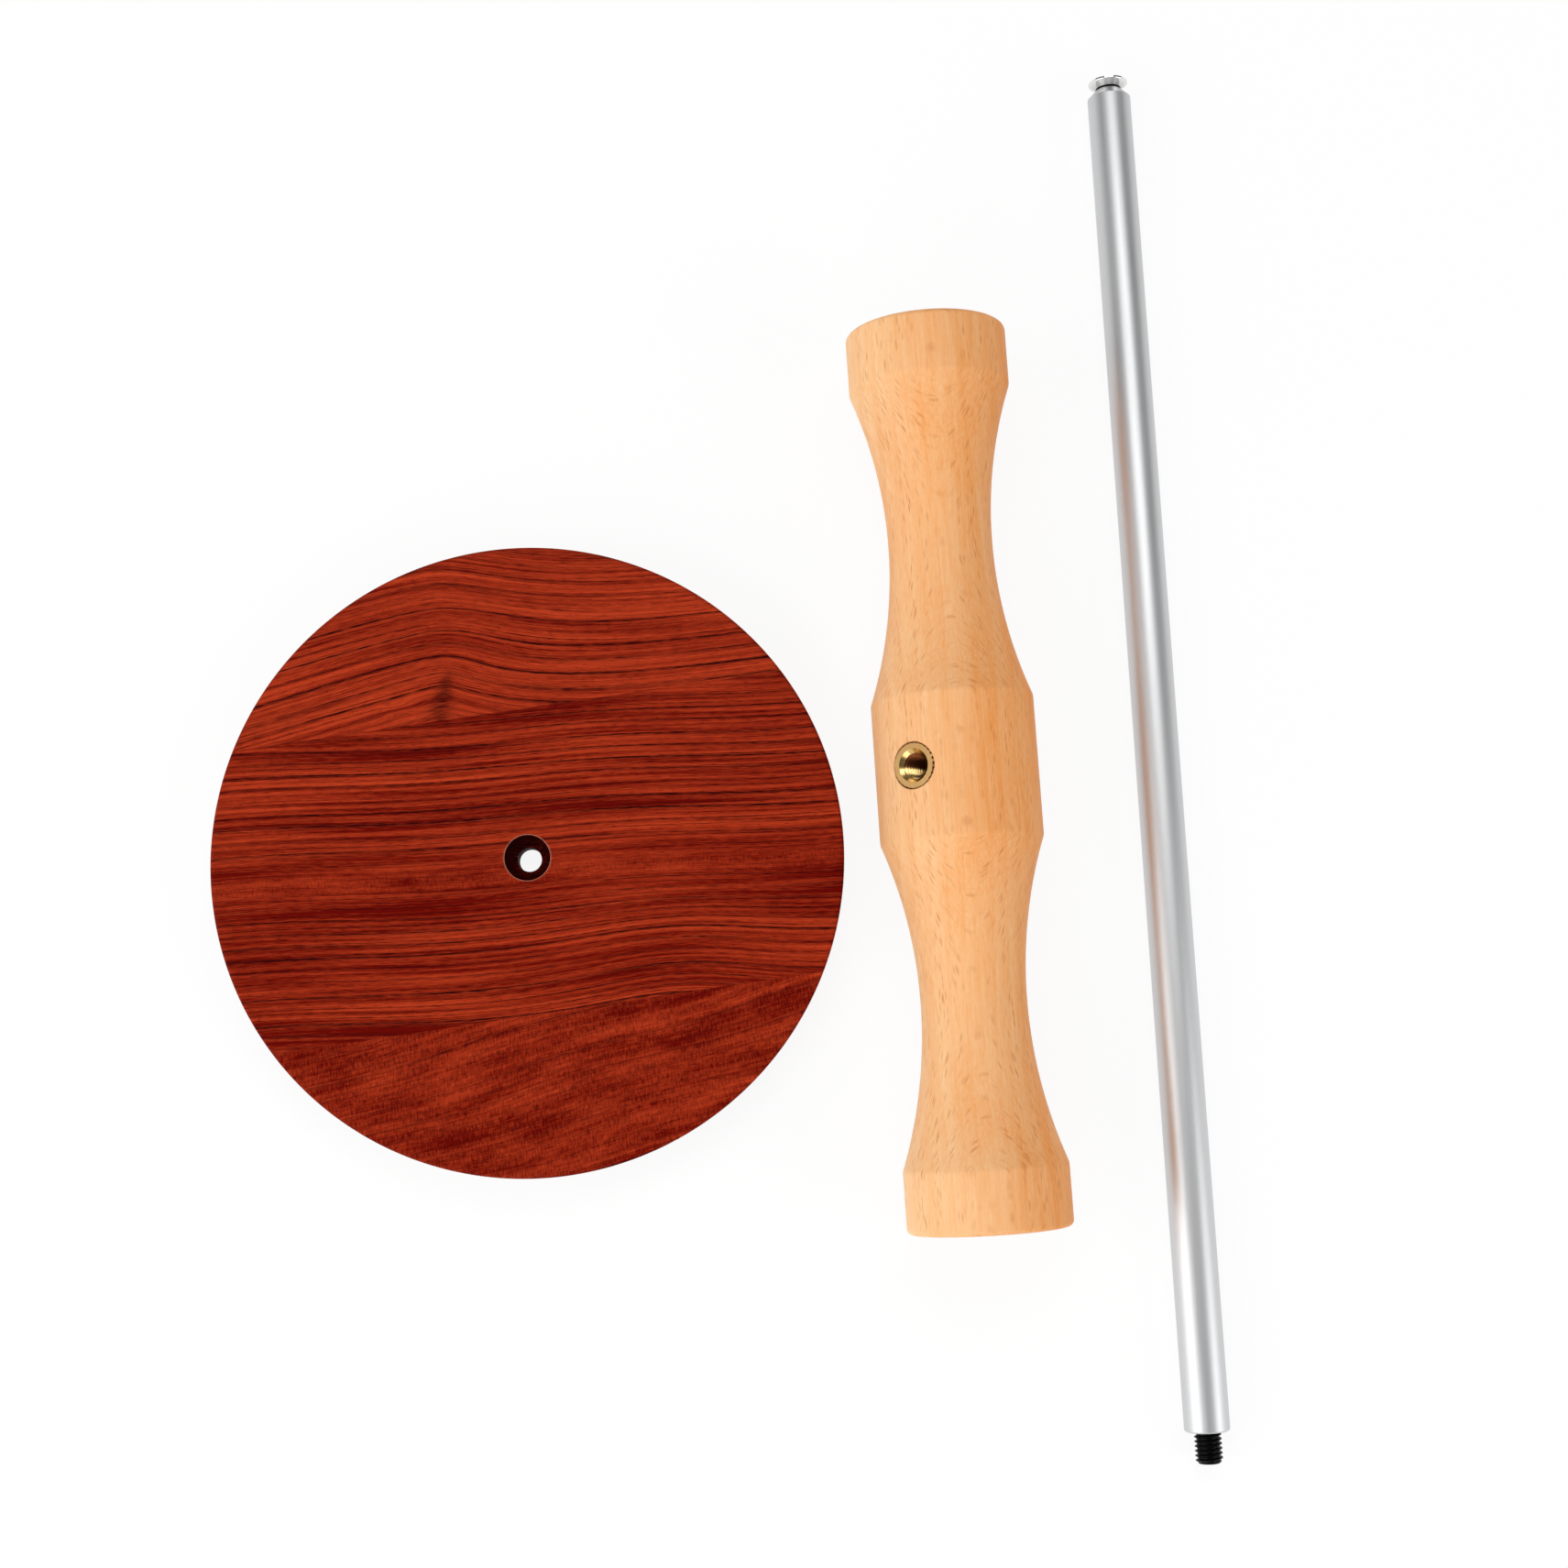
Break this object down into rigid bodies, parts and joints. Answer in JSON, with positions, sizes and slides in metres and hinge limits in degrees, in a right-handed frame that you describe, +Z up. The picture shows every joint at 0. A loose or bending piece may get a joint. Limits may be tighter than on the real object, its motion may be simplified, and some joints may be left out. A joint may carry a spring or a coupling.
{
  "type": "knock-down t-stand",
  "caption": "Knock-down T-stand lying in loose pieces: round glued-up wood base with a rod socket, aluminium pole with a screw in each end, turned waisted crossbar with a brass thread insert.",
  "frame": {"origin": "on the axis of the base's screw hole, in the plane of the table that all the pieces lie on", "axes": "+Z up from the table, +Y along the length of the laid-out set towards the pole's nose end, +X from the base towards the pole"},
  "size_m": [0.2251, 0.3163, 0.036],
  "materials": {
    "rosewood": "oiled red-brown hardwood with dark grain",
    "beech": "turned and oiled, fine short flecks",
    "brass": "machined and knurled",
    "aluminium": "satin, as drawn",
    "nickel": "bright nickel plate on steel",
    "black_oxide": "black oxide on steel"
  },
  "bodies": {
    "base": {"base_stave_rear": "rosewood", "base_stave_middle": "rosewood", "base_stave_front": "rosewood"},
    "crossbar": {"crossbar": "beech", "threaded_insert": "brass"},
    "pole": {"rod": "aluminium"},
    "base_screw": {"base_screw": "nickel"},
    "crossbar_stud": {"crossbar_stud": "black_oxide"}
  },
  "joints": [
    {"name": "crossbar_lift", "type": "slide", "parent": "base", "child": "crossbar", "axis": [0, 0, 1], "range_m": [0, 0.2]},
    {"name": "pole_lift", "type": "slide", "parent": "base", "child": "pole", "axis": [0, 0, 1], "range_m": [0, 0.2]},
    {"name": "base_screw_out", "type": "slide", "parent": "pole", "child": "base_screw", "axis": [-0.0523, 0.9986, 0], "range_m": [0, 0.02]},
    {"name": "crossbar_stud_out", "type": "slide", "parent": "pole", "child": "crossbar_stud", "axis": [0.0523, -0.9986, 0], "range_m": [0, 0.015]}
  ]
}
